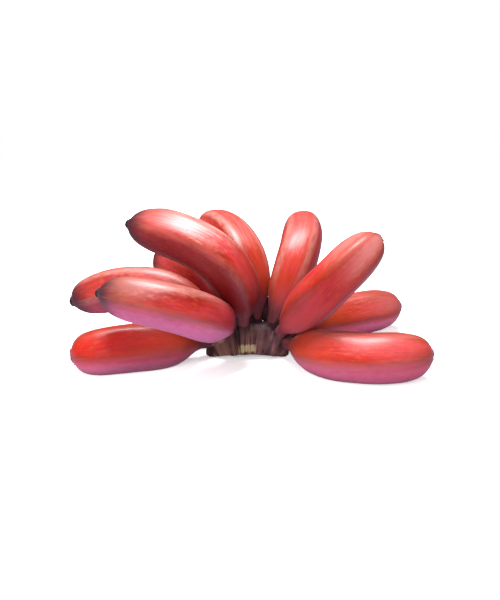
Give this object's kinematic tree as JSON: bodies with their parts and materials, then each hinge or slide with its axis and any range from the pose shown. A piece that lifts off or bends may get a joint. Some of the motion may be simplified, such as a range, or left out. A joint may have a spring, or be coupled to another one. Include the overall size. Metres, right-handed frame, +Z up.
{
  "type": "hand of red bananas",
  "caption": "Hand of short, plump red bananas on one cut crown, lying on its side with the fruit fanned out in a front and a back row.",
  "frame": {"origin": "on the plane the hand lies on, under the centre of its outline", "axes": "+Z up, +X to the right along the spread of the fruit, -Y toward the side the front row faces"},
  "size_m": [0.3276, 0.2112, 0.1381],
  "materials": {
    "peel": "smooth waxy red peel, satin",
    "crown": "dull brown-purple fibrous stalk"
  },
  "bodies": {
    "root": {"crown": "crown", "finger_front_1": "peel", "finger_front_2": "peel", "finger_front_3": "peel", "finger_front_4": "peel", "finger_front_5": "peel", "finger_back_1": "peel", "finger_back_2": "peel", "finger_back_3": "peel", "finger_back_4": "peel", "finger_back_5": "peel"}
  },
  "joints": []
}
